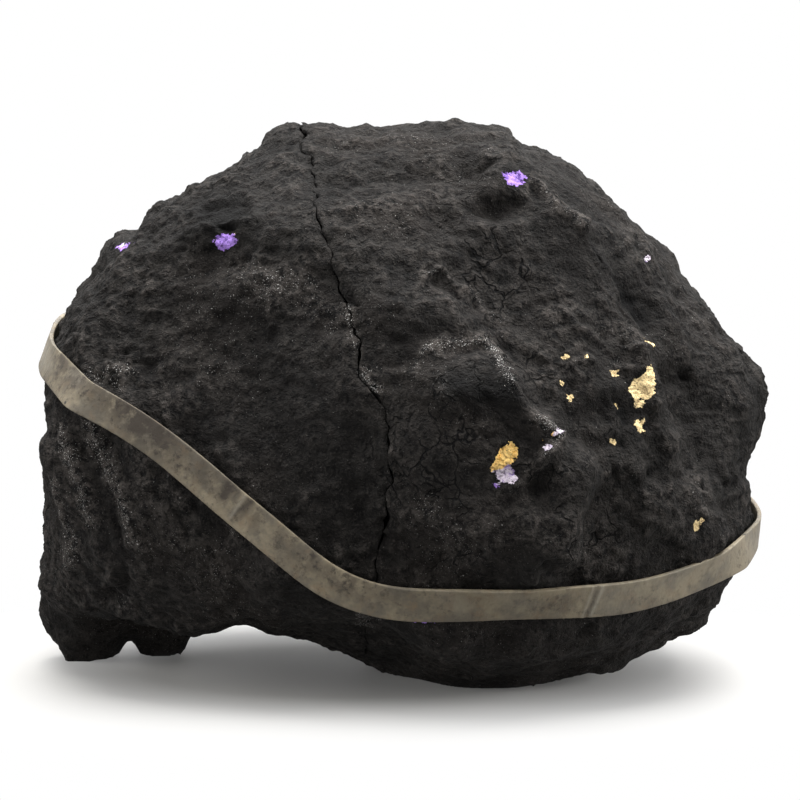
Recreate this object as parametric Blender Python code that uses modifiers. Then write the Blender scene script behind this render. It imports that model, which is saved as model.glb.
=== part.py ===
"""A calcite geode with a black crust, split in two and held shut by a stretched rubber band.

The stone is one lumpy body: a sphere whose points are moved onto an outline seen from the front,
given a depth, and then raised or hollowed by named features. A jagged sheet parts it in two halves.
The band follows the stone's section as a stretched loop does: it bridges the hollows and lies on the
bumps. Metres, +Z up, the crack and the low run of the band face -Y.
"""

import math

import bmesh
import bpy
import numpy as np

MM = 0.001

# Where every object stands, so that the origin lies under the middle of the whole
PLACE = np.array([-0.5, -0.6, 0.0]) * MM

# Driving dimensions of the stone
STONE_CENTRE = np.array([0.0, 0.0, 42.0]) * MM
FRONT_DEPTH = 40.0 * MM
BACK_DEPTH = 44.0 * MM
FULLNESS = 0.80
LEAN = 4.2
SPHERE_CUTS = 5
OUTLINE_FADE = 14.0 * MM
BROAD_HARMONICS = 5

# The stone's outline seen from the front, as (x, z), from the left side over the top
OUTLINE = np.array([
    (-53.2, 40.0), (-54.2, 47.6), (-51.4, 54.9), (-48.6, 60.9), (-43.8, 67.4), (-40.3, 67.8),
    (-37.8, 71.2), (-34.0, 71.8), (-27.8, 74.8), (-21.8, 79.6), (-18.4, 82.6), (-14.6, 83.0),
    (-8.0, 81.6), (-2.0, 81.8), (4.0, 83.0), (9.6, 83.8), (15.6, 83.2), (18.8, 80.2),
    (22.3, 79.6), (28.2, 76.2), (31.2, 73.6), (34.2, 69.6), (42.2, 60.6), (46.8, 52.2),
    (53.2, 46.0), (53.6, 42.8), (52.0, 36.8), (50.0, 31.8), (52.4, 24.4), (51.4, 16.2),
    (47.4, 8.2), (41.0, 3.0), (30.0, -0.4), (16.0, -1.8), (4.0, -1.2), (-6.0, 1.0),
    (-18.0, 5.5), (-30.0, 8.0), (-42.0, 8.5), (-50.0, 8.0), (-55.0, 12.5), (-55.6, 18.0),
    (-54.4, 28.0),
]) * MM


def periodic(angles, known_angles, known_values):
    """Straight-line interpolation of values given round a full turn."""
    order = np.argsort(known_angles)
    return np.interp(angles, known_angles[order], known_values[order], period=2 * math.pi)


def outline_radius(angle):
    """The outline's distance from the stone's centre at each angle, exact and in its broad form."""
    away = OUTLINE - STONE_CENTRE[[0, 2]]
    known = np.arctan2(away[:, 1], away[:, 0])
    radius = np.hypot(away[:, 0], away[:, 1])
    turn = np.linspace(-math.pi, math.pi, 720, endpoint=False)
    waves = np.fft.rfft(periodic(turn, known, radius))
    waves[BROAD_HARMONICS + 1:] = 0
    broad = np.fft.irfft(waves, len(turn))
    return periodic(angle, known, radius), periodic(angle, turn, broad)


def lattice_value(cell, seed):
    """A repeatable number from -1 to 1 for each whole-numbered lattice corner."""
    mixed = cell[..., 0] * 374761393 + cell[..., 1] * 668265263 + cell[..., 2] * 1103515245
    mixed = (mixed + seed * 144665) & 0xFFFFFFFF
    mixed = ((mixed ^ (mixed >> 13)) * 1274126177) & 0xFFFFFFFF
    mixed = mixed ^ (mixed >> 16)
    return mixed / 0x7FFFFFFF - 1.0


def noise(points, size, seed):
    """Smooth noise from -1 to 1: corner values of a lattice of that cell size, eased together."""
    scaled = points / size
    corner = np.floor(scaled).astype(np.int64)
    part = scaled - corner
    ease = part * part * part * (part * (part * 6 - 15) + 10)
    total = np.zeros(len(points))
    for step in np.ndindex(2, 2, 2):
        share = np.prod(np.where(step, ease, 1 - ease), axis=1)
        total += share * lattice_value(corner + np.array(step), seed)
    return total


def front(x, z):
    """The point of the plain body at x and z, on the side that faces -Y."""
    return facing(x, z, -FRONT_DEPTH)


def back(x, z):
    """The same on the side that faces +Y."""
    return facing(x, z, BACK_DEPTH)


def lean(height):
    """How far back the body bows at a height over its centre, or under it."""
    return LEAN * height ** 2


def facing(x, z, depth):
    away = np.array([x, z]) * MM - STONE_CENTRE[[0, 2]]
    _, broad = outline_radius(np.array([math.atan2(away[1], away[0])]))
    reach = min(math.hypot(*away) / broad[0], 1.0)
    rise = math.sqrt(1.0 - reach ** (2 / FULLNESS))
    return STONE_CENTRE + np.array([away[0], depth * rise ** FULLNESS + lean(away[1]), away[1]])


# Each feature runs from one point to another on the surface: (start, end, width, height, flatness).
# A negative height is a hollow, and a flatness over 1 gives a level top and steeper sides.
FEATURES = [
    # the broad forms: the full lower front and its corner, the flatter left face and the crest
    (front(6, 30), front(14, 26), 22.0, 4.0, 1.2),
    (front(-14, 21), front(4, 16), 6.5, 3.2, 1.2),
    (front(4, 16), front(34, 16), 6.5, 3.0, 1.2),
    (front(43, 26), front(45, 17), 6.0, 3.4, 1.2),
    (front(-30, 52), front(-26, 40), 15.0, -3.0, 1.2),
    (front(30, 60), front(14, 68), 12.0, -2.2, 1.0),
    # the snout in the middle of the front, its brow, its edge and the hollow that it shades
    (front(9, 40), front(12, 34), 10.5, 4.2, 2.0),
    (front(6, 49), front(14, 48), 3.2, 2.0, 1.2),
    (front(14, 47), front(22, 37), 3.0, 2.0, 1.2),
    (front(22, 37), front(15, 24), 3.2, 1.6, 1.2),
    (front(27, 31), front(24, 24), 5.0, -2.4, 1.2),
    # the brow and the terrace above the snout
    (front(-2, 59), front(9, 57), 3.2, 1.3, 1.0),
    (front(8, 64), front(18, 61), 6.0, -1.2, 1.0),
    (front(-10, 76), front(12, 77), 3.0, -1.2, 1.0),
    # the knob under the crest, the hollow beside it and the ridge that falls to the right
    (front(13, 76), front(15, 76), 2.4, 2.2, 1.4),
    (front(14, 72.5), front(18, 72.5), 2.6, -1.2, 1.0),
    (front(20, 72), front(29, 64), 2.2, 1.4, 1.0),
    # the right side: a dark hollow and the folds that run down beside it
    (front(42, 46), front(44, 38), 5.5, -2.8, 1.0),
    (front(33, 53), front(38, 41), 2.4, 1.2, 1.0),
    (front(28, 48), front(31, 36), 2.2, 1.0, 1.0),
    (front(46, 28), front(43, 22), 3.5, -1.2, 1.0),
    # the left face: a ledge over a hollow, a fold near the side and a knob above the band
    (front(-36, 66), front(-22, 71), 2.6, 1.4, 1.0),
    (front(-29, 65), front(-25, 66), 3.2, -2.4, 1.2),
    (front(-43, 60), front(-43, 47), 2.2, 1.4, 1.0),
    (front(-43, 45), front(-40, 44), 2.6, 1.8, 1.0),
    (front(-36, 43), front(-30, 36), 4.0, -1.0, 1.0),
    # the grooved skirt below the band on the left
    (front(-50, 38), front(-40, 24), 2.4, 1.0, 1.0),
    (front(-46, 40), front(-30, 18), 2.0, -0.9, 1.0),
    (front(-36, 30), front(-22, 14), 2.4, 0.9, 1.0),
    # the back and the sides that the front doesn't show
    (back(18, 60), back(26, 40), 9.0, 3.0, 1.2),
    (back(-22, 58), back(-34, 40), 8.0, -3.2, 1.0),
    (back(-12, 30), back(8, 22), 9.0, 3.0, 1.2),
    (back(2, 70), back(-14, 66), 4.0, 1.8, 1.0),
    (back(36, 30), back(40, 18), 7.0, -2.6, 1.0),
]

# The underside's lumps, as (x, y, width, how far each is let down). A negative drop is a hollow.
UNDERSIDE = [
    (-48.5, 9.0, 6.2, 11.0),
    (-37.5, 11.0, 5.2, 9.5),
    (-44.0, 24.0, 10.5, 7.5),
    (-31.0, -3.0, 8.0, -6.0),
    (11.0, -6.0, 11.0, 2.0),
    (24.0, 22.0, 8.5, 9.0),
    (-4.0, 18.0, 9.0, -5.0),
]
UNDERSIDE_TOP = 34.0 * MM

# The stone's own unevenness: (cell size, height, seed)
ROUGHNESS = [(26.0, 2.0, 3), (13.0, 1.0, 11), (7.0, 0.45, 23)]


def strength(points, start, end, width, flatness):
    """How strongly a feature acts at each point: 1 on its line, falling off over its width."""
    run = end - start
    along = np.clip((points - start) @ run / max(run @ run, 1e-12), 0, 1)
    far = np.linalg.norm(points - start - along[:, None] * run, axis=1) / (width * MM)
    return np.exp(-far ** (2 * flatness))


def plain_body(directions):
    """Sphere directions moved onto the outline and the depth, before any feature."""
    angle = np.arctan2(directions[:, 2], directions[:, 0])
    rise = np.clip(np.abs(directions[:, 1]), 0, 1)
    across = np.sqrt(1 - rise ** 2) ** FULLNESS
    deep = np.sign(directions[:, 1]) * rise ** FULLNESS
    y = deep * np.where(deep < 0, FRONT_DEPTH, BACK_DEPTH)
    exact, broad = outline_radius(angle)
    radius = broad + (exact - broad) * np.exp(-(y / OUTLINE_FADE) ** 2)
    z = radius * across * np.sin(angle)
    y = y + lean(z)
    return STONE_CENTRE + np.stack([radius * across * np.cos(angle), y, z], axis=1)


def stone_surface(directions):
    """The whole stone's surface points for these sphere directions."""
    body = plain_body(directions)
    outward = body - STONE_CENTRE
    outward /= np.linalg.norm(outward, axis=1)[:, None]
    lift = np.zeros(len(body))
    for start, end, width, height, flatness in FEATURES:
        lift += height * MM * strength(body, start, end, width, flatness)
    for size, height, seed in ROUGHNESS:
        lift += height * MM * noise(body, size * MM, seed)
    points = body + outward * lift[:, None]
    low = np.clip(1 - points[:, 2] / UNDERSIDE_TOP, 0, 1)
    for x, y, width, drop in UNDERSIDE:
        near = np.hypot(body[:, 0] - x * MM, body[:, 1] - y * MM) / (width * MM)
        points[:, 2] -= drop * MM * np.exp(-near ** 3) * np.sqrt(low)
    points[:, 2] = np.maximum(points[:, 2], 0)
    return points


# The crack, as (z, x) down the front and down the back, and the gap that parts the halves along X
CRACK_FRONT = np.array([
    (8.0, -5.4), (14.0, -4.2), (22.0, -3.3), (28.0, -2.2), (35.0, -1.2), (40.0, -1.7), (46.0, -2.8),
    (50.0, -5.5), (55.0, -5.9), (62.0, -8.0), (69.0, -10.2), (77.0, -12.8), (84.0, -15.2),
]) * MM
CRACK_BACK = np.array([
    (5.0, -9.0), (20.0, -12.0), (40.0, -9.0), (60.0, -12.0), (84.0, -15.2),
]) * MM
CRACK_TURNOVER = 20.0 * MM
CRACK_JAGS = [(9.0, 0.8, 41), (4.5, 0.35, 47)]
CRACK_GAP = 0.36 * MM
CRACK_CELLS = 24
CRACK_REACH = 54.0 * MM

# Driving dimensions of the band, and its middle's height at azimuths from +X towards +Y
BAND_WIDTH = 5.0 * MM
BAND_THICKNESS = 0.65 * MM
BAND_CLEARANCE = 0.4 * MM
BAND_STATIONS = 132
BAND_ROWS = 5
BAND_SOFTENING = math.radians(3.0)
BAND_PATH = np.array([
    (-180.0, 50.8), (-168.0, 50.0), (-156.5, 49.0), (-147.0, 46.0), (-138.0, 41.6), (-133.0, 38.6),
    (-127.5, 34.9), (-121.5, 30.8), (-116.0, 27.6), (-111.0, 24.5), (-106.0, 21.4), (-99.5, 19.1),
    (-92.0, 17.8), (-85.0, 17.6), (-73.0, 17.8), (-62.0, 17.9), (-50.0, 17.7), (-44.0, 18.1),
    (-38.0, 19.2), (-34.0, 20.0), (-30.0, 20.8), (-27.0, 21.5), (-24.0, 22.1), (-18.5, 22.6),
    (-12.0, 22.6), (0.0, 22.4), (20.0, 25.0), (45.0, 32.5), (70.0, 42.0), (90.0, 48.5),
    (110.0, 52.5), (135.0, 53.5), (160.0, 51.8),
])


def crack(y, z):
    """The X of the sheet that parts the stone, at each Y and Z."""
    ahead = np.interp(z, CRACK_FRONT[:, 0], CRACK_FRONT[:, 1])
    behind = np.interp(z, CRACK_BACK[:, 0], CRACK_BACK[:, 1])
    share = np.clip(0.5 + y / (2 * CRACK_TURNOVER), 0, 1)
    share = share * share * (3 - 2 * share)
    sheet = ahead + (behind - ahead) * share
    places = np.stack([np.zeros_like(y), y, z], axis=1)
    for size, height, seed in CRACK_JAGS:
        sheet = sheet + height * MM * noise(places, size * MM, seed)
    return sheet


def azimuth_of(points):
    return np.arctan2(points[:, 1], points[:, 0])


def surface_at(azimuth, height):
    """The surface points at these azimuths and heights: directions are corrected until they meet them."""
    turn = azimuth.copy()
    rise = np.arctan2(height - STONE_CENTRE[2], FRONT_DEPTH)
    for _ in range(40):
        level = np.cos(rise)
        points = stone_surface(np.stack([level * np.cos(turn), level * np.sin(turn), np.sin(rise)], axis=1))
        missed = azimuth - azimuth_of(points)
        turn += 0.5 * (missed - 2 * math.pi * np.round(missed / (2 * math.pi)))
        rise += 0.5 * (height - points[:, 2]) / np.hypot(points[:, 0], points[:, 1])
    return points


def path_height(azimuth):
    """The height of the band's middle: the keys eased together with a round-the-loop blur."""
    turn = np.linspace(-math.pi, math.pi, 720, endpoint=False)
    heights = periodic(turn, np.radians(BAND_PATH[:, 0]), BAND_PATH[:, 1] * MM)
    return periodic(azimuth, turn, softened(heights, BAND_SOFTENING))


def softened(values, spread):
    """A loop of values blurred by a bell curve of that spread, in radians."""
    waves = np.fft.rfft(values)
    return np.fft.irfft(waves * np.exp(-0.5 * (spread * np.arange(len(waves))) ** 2), len(values))


def band_rows():
    """Loops of surface points from the band's lower edge to its upper edge."""
    azimuth = np.linspace(-math.pi, math.pi, 360, endpoint=False)
    middle = surface_at(azimuth, path_height(azimuth))
    along = np.roll(middle, -3, axis=0) - np.roll(middle, 3, axis=0)
    outward = np.stack([np.cos(azimuth), np.sin(azimuth), np.zeros_like(azimuth)], axis=1)
    higher = surface_at(azimuth, middle[:, 2] + 2 * MM)
    lower = surface_at(azimuth, middle[:, 2] - 2 * MM)
    facing_out = np.cross(along, higher - lower)
    facing_out *= np.sign(np.sum(facing_out * outward, axis=1))[:, None]
    across = np.cross(facing_out, along)
    across /= np.linalg.norm(across, axis=1)[:, None]
    across = np.stack([softened(across[:, axis], 0.12) for axis in range(3)], axis=1)
    across /= np.linalg.norm(across, axis=1)[:, None]
    across *= np.sign(across[:, 2:])
    rows = []
    for offset in np.linspace(-0.5, 0.5, BAND_ROWS):
        wanted = middle + across * offset * BAND_WIDTH
        rows.append(surface_at(azimuth_of(wanted), wanted[:, 2]))
    return rows


def taut(loop, turn):
    """How far out a cord pulled tight round the loop stands, in plan, for each way that it can face."""
    ways = np.stack([np.cos(turn), np.sin(turn)], axis=1)
    return (ways @ loop[:, :2].T).max(axis=1)


def tangent_points(distance, turn):
    """The plan points where the cord faces each way, from how far out it stands there."""
    step = turn[1] - turn[0]
    slope = (np.roll(distance, -1) - np.roll(distance, 1)) / (2 * step)
    x = distance * np.cos(turn) - slope * np.sin(turn)
    y = distance * np.sin(turn) + slope * np.cos(turn)
    return np.stack([x, y], axis=1)


def band_edges():
    """The lower and the upper edge of the band's inner face, as loops of points, pulled tight."""
    rows = band_rows()
    turn = np.linspace(-math.pi, math.pi, 720, endpoint=False)
    reach = np.array([taut(row, turn) for row in rows])
    share = np.linspace(0, 1, BAND_ROWS)[:, None]
    ruled = reach[0] * (1 - share) + reach[-1] * share
    spare = softened(np.max(reach - ruled, axis=0), BAND_SOFTENING) + BAND_CLEARANCE
    edges = []
    for row, distance in ((rows[0], reach[0]), (rows[-1], reach[-1])):
        raised = tangent_points(softened(distance + spare, BAND_SOFTENING), turn)
        plan = tangent_points(softened(taut(raised, turn), BAND_SOFTENING), turn)
        height = periodic(azimuth_of(plan), azimuth_of(row), row[:, 2])
        edges.append(np.column_stack([plan, height]))
    return edges


def by_length(loop, count):
    """Points at even distances along a closed loop."""
    closed = np.concatenate([loop, loop[:1]])
    run = np.concatenate([[0], np.cumsum(np.linalg.norm(np.diff(closed, axis=0), axis=1))])
    wanted = np.linspace(0, run[-1], count, endpoint=False)
    return np.stack([np.interp(wanted, run, closed[:, axis]) for axis in range(3)], axis=1)


def stations_of(edges):
    """Pairs of points on the two edges, square across the band at even distances along it."""
    fine = [by_length(edge, 2400) for edge in edges]
    middle = by_length(fine[0] / 2 + fine[1] / 2, BAND_STATIONS)
    along = np.roll(middle, -1, axis=0) - np.roll(middle, 1, axis=0)
    along /= np.linalg.norm(along, axis=1)[:, None]
    pairs = []
    for edge in fine:
        away = edge[None] - middle[:, None]
        ahead = np.abs(np.sum(away * along[:, None], axis=2))
        ahead[np.linalg.norm(away, axis=2) > 2 * BAND_WIDTH] = np.inf
        pairs.append(edge[np.argmin(ahead, axis=1)])
    return pairs


def clear_scene():
    for obj in list(bpy.data.objects):
        bpy.data.objects.remove(obj)


def place(mesh, name, collection):
    data = bpy.data.meshes.new(name)
    mesh.to_mesh(data)
    mesh.free()
    obj = bpy.data.objects.new(name, data)
    obj.location = PLACE
    collection.objects.link(obj)
    return obj


def points_of(data):
    points = np.empty(len(data.vertices) * 3)
    data.vertices.foreach_get("co", points)
    return points.reshape(-1, 3)


def paint(obj, name, colour, roughness):
    material = bpy.data.materials.new(name)
    material.use_nodes = True
    shader = material.node_tree.nodes["Principled BSDF"]
    shader.inputs["Base Color"].default_value = (*colour, 1.0)
    shader.inputs["Roughness"].default_value = roughness
    shader.inputs["Metallic"].default_value = 0.0
    obj.data.materials.append(material)


def add_cutter(name, side, collection):
    """A block whose one face is the crack's sheet, and that reaches past the stone towards that side."""
    mesh = bmesh.new()
    bmesh.ops.create_grid(mesh, x_segments=CRACK_CELLS, y_segments=CRACK_CELLS, size=CRACK_REACH)
    bmesh.ops.extrude_face_region(mesh, geom=mesh.faces[:], use_keep_orig=True)
    cutter = place(mesh, name, collection)
    data = cutter.data
    flat = points_of(data)
    half = len(flat) // 2
    y = flat[:, 0]
    z = flat[:, 1] + STONE_CENTRE[2]
    x = crack(y, z) - side * CRACK_GAP / 2
    x[half:] = side * 80 * MM
    data.vertices.foreach_set("co", np.stack([x, y, z], axis=1).ravel())
    mesh = bmesh.new()
    mesh.from_mesh(data)
    bmesh.ops.recalc_face_normals(mesh, faces=mesh.faces[:])
    mesh.to_mesh(data)
    mesh.free()
    cutter.hide_render = True
    cutter.display_type = "WIRE"
    return cutter


def add_half(name, cutter, collection):
    """The whole stone, with all of it on the cutter's side taken away."""
    mesh = bmesh.new()
    bmesh.ops.create_icosphere(mesh, subdivisions=SPHERE_CUTS, radius=1)
    half = place(mesh, name, collection)
    half.data.vertices.foreach_set("co", stone_surface(points_of(half.data)).ravel())
    half.data.shade_smooth()
    part_off = half.modifiers.new("part off", "BOOLEAN")
    part_off.operation = "DIFFERENCE"
    part_off.solver = "EXACT"
    part_off.object = cutter
    paint(half, name + " crust", (0.035, 0.033, 0.031), 0.9)
    return half


def add_band(name, collection):
    """A tube of facets whose two rims are drawn onto the stone, thickened outwards."""
    lower, upper = stations_of(band_edges())
    mesh = bmesh.new()
    bmesh.ops.create_cone(
        mesh, cap_ends=False, segments=BAND_STATIONS, radius1=1, radius2=1, depth=2
    )
    band = place(mesh, name, collection)
    rims = points_of(band.data)
    share = azimuth_of(rims) / (2 * math.pi)
    station = np.round(share * BAND_STATIONS).astype(int) % BAND_STATIONS
    drawn = np.where(rims[:, 2:] > 0, upper[station], lower[station])
    band.data.vertices.foreach_set("co", drawn.ravel())
    thicken = band.modifiers.new("thicken", "SOLIDIFY")
    thicken.thickness = BAND_THICKNESS
    thicken.offset = 1
    thicken.use_even_offset = True
    paint(band, name + " rubber", (0.25, 0.22, 0.17), 0.6)
    return band


def main():
    clear_scene()
    geode = bpy.data.collections.new("calcite geode")
    cutters = bpy.data.collections.new("cutters")
    bpy.context.scene.collection.children.link(geode)
    bpy.context.scene.collection.children.link(cutters)
    cutters.hide_render = True
    right_side = add_cutter("cutter_right_side", 1, cutters)
    left_side = add_cutter("cutter_left_side", -1, cutters)
    add_half("geode_left_half", right_side, geode)
    add_half("geode_right_half", left_side, geode)
    add_band("rubber_band", geode)


main()
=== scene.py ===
# A calcite geode: dark crust, cracked in two, and held shut by a stretched rubber band.
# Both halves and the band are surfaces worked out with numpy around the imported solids.
# Lengths are in millimetres until a surface is put into its mesh.

import math

import bpy
import numpy as np
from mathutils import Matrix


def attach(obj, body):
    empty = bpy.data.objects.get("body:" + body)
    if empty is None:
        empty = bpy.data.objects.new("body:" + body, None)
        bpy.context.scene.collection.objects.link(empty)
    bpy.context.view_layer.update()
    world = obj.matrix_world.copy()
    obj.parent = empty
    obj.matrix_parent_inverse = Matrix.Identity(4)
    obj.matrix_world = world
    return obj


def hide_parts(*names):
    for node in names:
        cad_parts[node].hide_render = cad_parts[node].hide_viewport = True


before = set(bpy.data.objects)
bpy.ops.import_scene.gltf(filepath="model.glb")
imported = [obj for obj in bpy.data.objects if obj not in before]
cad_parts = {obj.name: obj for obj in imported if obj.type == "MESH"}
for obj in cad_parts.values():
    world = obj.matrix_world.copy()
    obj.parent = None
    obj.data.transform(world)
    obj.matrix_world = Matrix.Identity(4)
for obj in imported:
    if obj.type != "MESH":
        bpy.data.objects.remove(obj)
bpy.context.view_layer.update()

mm = 0.001
picture = {
    "side": 800, "millimetresPerPixel": 0.1525, "distance": 520.0, "elevation": 7.0, "aim": (0.0, 0.0, 41.6),
    "sensorWidth": 36.0,
}


# Numbers that repeat

def latticeValue(cell, seed):
    # whole-numbered lattice corners mixed into repeatable numbers from -1 to 1
    mixed = cell[..., 0] * 374761393 + cell[..., 1] * 668265263 + cell[..., 2] * 1103515245
    mixed = (mixed + seed * 144665) & 0xFFFFFFFF
    mixed = ((mixed ^ (mixed >> 13)) * 1274126177) & 0xFFFFFFFF
    mixed = mixed ^ (mixed >> 16)
    return mixed / 0x7FFFFFFF - 1.0


def smoothNoise(points, size, seed):
    # corner values of a lattice of that cell size, eased together with a fifth-order curve
    scaled = points / size
    corner = np.floor(scaled).astype(np.int64)
    part = scaled - corner
    ease = part * part * part * (part * (part * 6 - 15) + 10)
    total = np.zeros(len(points))
    for step in np.ndindex(2, 2, 2):
        share = np.prod(np.where(step, ease, 1 - ease), axis=1)
        total += share * latticeValue(corner + np.array(step), seed)
    return total


def fractalNoise(points, size, seed, octaves, fade):
    # smooth noise added to itself at half the size and a share of the height each time
    total = np.zeros(len(points))
    height = 1.0
    for octave in range(octaves):
        total += height * smoothNoise(points, size, seed + octave * 7)
        size *= 0.5
        height *= fade
    return total


def nearestSeed(points, size, seed):
    # one jittered seed in each lattice cell: the distances to the nearest two, and the nearest's own number
    scaled = points / size
    corner = np.floor(scaled).astype(np.int64)
    first = np.full(len(points), 9.0)
    second = np.full(len(points), 9.0)
    own = np.zeros(len(points))
    for step in np.ndindex(3, 3, 3):
        cell = corner + np.array(step) - 1
        jitter = np.stack([latticeValue(cell, seed + axis * 13) for axis in range(3)], axis=1)
        away = np.linalg.norm(cell + 0.5 + 0.42 * jitter - scaled, axis=1)
        closer = away < first
        second = np.where(closer, first, np.minimum(second, away))
        own = np.where(closer, latticeValue(cell, seed + 57), own)
        first = np.where(closer, away, first)
    return first * size, second * size, own


def eased(low, high, values):
    # 0 below the low value, 1 above the high one, and an S-shaped curve between them
    share = np.clip((values - low) / (high - low), 0, 1)
    return share * share * (3 - 2 * share)


def around(angles, knownAngles, knownValues):
    # straight-line interpolation of values given round a full turn
    order = np.argsort(knownAngles)
    return np.interp(angles, knownAngles[order], knownValues[order], period=2 * math.pi)


# The stone's form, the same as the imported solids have

stone = {
    "place": (-0.5, -0.6, 0.0),
    "centre": (0.0, 0.0, 42.0),
    "frontDepth": 40.0,
    "backDepth": 44.0,
    "fullness": 0.80,
    "lean": 0.0042,
    "outlineFade": 14.0,
    "broadWaves": 5,
    "undersideTop": 34.0,
    "roughness": [(26.0, 2.0, 3), (13.0, 1.0, 11), (7.0, 0.45, 23)],
    "outline": [
        (-53.2, 40), (-54.2, 47.6), (-51.4, 54.9), (-48.6, 60.9), (-43.8, 67.4), (-40.3, 67.8),
        (-37.8, 71.2), (-34, 71.8), (-27.8, 74.8), (-21.8, 79.6), (-18.4, 82.6), (-14.6, 83),
        (-8, 81.6), (-2, 81.8), (4, 83), (9.6, 83.8), (15.6, 83.2), (18.8, 80.2),
        (22.3, 79.6), (28.2, 76.2), (31.2, 73.6), (34.2, 69.6), (42.2, 60.6), (46.8, 52.2),
        (53.2, 46), (53.6, 42.8), (52, 36.8), (50, 31.8), (52.4, 24.4), (51.4, 16.2),
        (47.4, 8.2), (41, 3), (30, -0.4), (16, -1.8), (4, -1.2), (-6, 1),
        (-18, 5.5), (-30, 8), (-42, 8.5), (-50, 8), (-55, 12.5), (-55.6, 18),
        (-54.4, 28),
    ],
    # (x, z) to (x, z) on the front, then width, height and flatness:
    # broad forms, snout, brow, knob, sides, skirt
    "frontFeatures": [
        (6, 30, 14, 26, 22, 4, 1.2), (-14, 21, 4, 16, 6.5, 3.2, 1.2), (4, 16, 34, 16, 6.5, 3, 1.2),
        (43, 26, 45, 17, 6, 3.4, 1.2), (-30, 52, -26, 40, 15, -3, 1.2), (30, 60, 14, 68, 12, -2.2, 1),
        (9, 40, 12, 34, 10.5, 4.2, 2), (6, 49, 14, 48, 3.2, 2, 1.2), (14, 47, 22, 37, 3, 2, 1.2),
        (22, 37, 15, 24, 3.2, 1.6, 1.2), (27, 31, 24, 24, 5, -2.4, 1.2), (-2, 59, 9, 57, 3.2, 1.3, 1),
        (8, 64, 18, 61, 6, -1.2, 1), (-10, 76, 12, 77, 3, -1.2, 1), (13, 76, 15, 76, 2.4, 2.2, 1.4),
        (14, 72.5, 18, 72.5, 2.6, -1.2, 1), (20, 72, 29, 64, 2.2, 1.4, 1), (42, 46, 44, 38, 5.5, -2.8, 1),
        (33, 53, 38, 41, 2.4, 1.2, 1), (28, 48, 31, 36, 2.2, 1, 1), (46, 28, 43, 22, 3.5, -1.2, 1),
        (-36, 66, -22, 71, 2.6, 1.4, 1), (-29, 65, -25, 66, 3.2, -2.4, 1.2), (-43, 60, -43, 47, 2.2, 1.4, 1),
        (-43, 45, -40, 44, 2.6, 1.8, 1), (-36, 43, -30, 36, 4, -1, 1), (-50, 38, -40, 24, 2.4, 1, 1),
        (-46, 40, -30, 18, 2, -0.9, 1), (-36, 30, -22, 14, 2.4, 0.9, 1),
    ],
    "backFeatures": [
        (18, 60, 26, 40, 9, 3, 1.2), (-22, 58, -34, 40, 8, -3.2, 1), (-12, 30, 8, 22, 9, 3, 1.2),
        (2, 70, -14, 66, 4, 1.8, 1), (36, 30, 40, 18, 7, -2.6, 1),
    ],
    # (x, y, width, how far it is let down)
    "underside": [
        (-48.5, 9, 6.2, 11), (-37.5, 11, 5.2, 9.5), (-44, 24, 10.5, 7.5), (-31, -3, 8, -6),
        (11, -6, 11, 2), (24, 22, 8.5, 9), (-4, 18, 9, -5),
    ],
}
stonePlace = np.array(stone["place"])
stoneCentre = np.array(stone["centre"])
outline = np.array(stone["outline"])
fullTurn = np.linspace(-math.pi, math.pi, 720, endpoint=False)
# the step over a unit sphere from which the form's slopes are read
slopeStep = 0.006


def outlineRadius(angle):
    # the outline's distance from the centre at each angle, exact and with only its broad waves
    away = outline - stoneCentre[[0, 2]]
    known = np.arctan2(away[:, 1], away[:, 0])
    radius = np.hypot(away[:, 0], away[:, 1])
    waves = np.fft.rfft(around(fullTurn, known, radius))
    waves[stone["broadWaves"] + 1:] = 0
    return around(angle, known, radius), around(angle, fullTurn, np.fft.irfft(waves, len(fullTurn)))


def facing(x, z, depth):
    # the point of the plain body at x and z, on the side that the depth's sign gives
    away = np.array([x, z]) - stoneCentre[[0, 2]]
    broad = outlineRadius(np.array([math.atan2(away[1], away[0])]))[1]
    reach = min(math.hypot(*away) / broad[0], 1.0)
    rise = math.sqrt(1.0 - reach ** (2 / stone["fullness"])) ** stone["fullness"]
    return stoneCentre + np.array([away[0], depth * rise + stone["lean"] * away[1] ** 2, away[1]])


# every feature as (start point, end point, width, height, flatness)
features = []
for part, side in ("front", -1), ("back", 1):
    depth = side * stone[part + "Depth"]
    for x, z, toX, toZ, *shape in stone[part + "Features"]:
        features.append((facing(x, z, depth), facing(toX, toZ, depth), *shape))


def nearLine(points, start, end):
    # each point's distance to a straight run
    run = end - start
    along = np.clip((points - start) @ run / max(run @ run, 1e-9), 0, 1)
    return np.linalg.norm(points - start - along[:, None] * run, axis=1)


def plainBody(directions):
    # a sphere's directions moved onto the outline seen from the front, and given the depth
    angle = np.arctan2(directions[:, 2], directions[:, 0])
    rise = np.clip(np.abs(directions[:, 1]), 0, 1)
    across = np.sqrt(1 - rise ** 2) ** stone["fullness"]
    deep = np.sign(directions[:, 1]) * rise ** stone["fullness"]
    y = deep * np.where(deep < 0, stone["frontDepth"], stone["backDepth"])
    exact, broad = outlineRadius(angle)
    radius = broad + (exact - broad) * np.exp(-(y / stone["outlineFade"]) ** 2)
    z = radius * across * np.sin(angle)
    return stoneCentre + np.stack([radius * across * np.cos(angle), y + stone["lean"] * z ** 2, z], axis=1)


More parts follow.
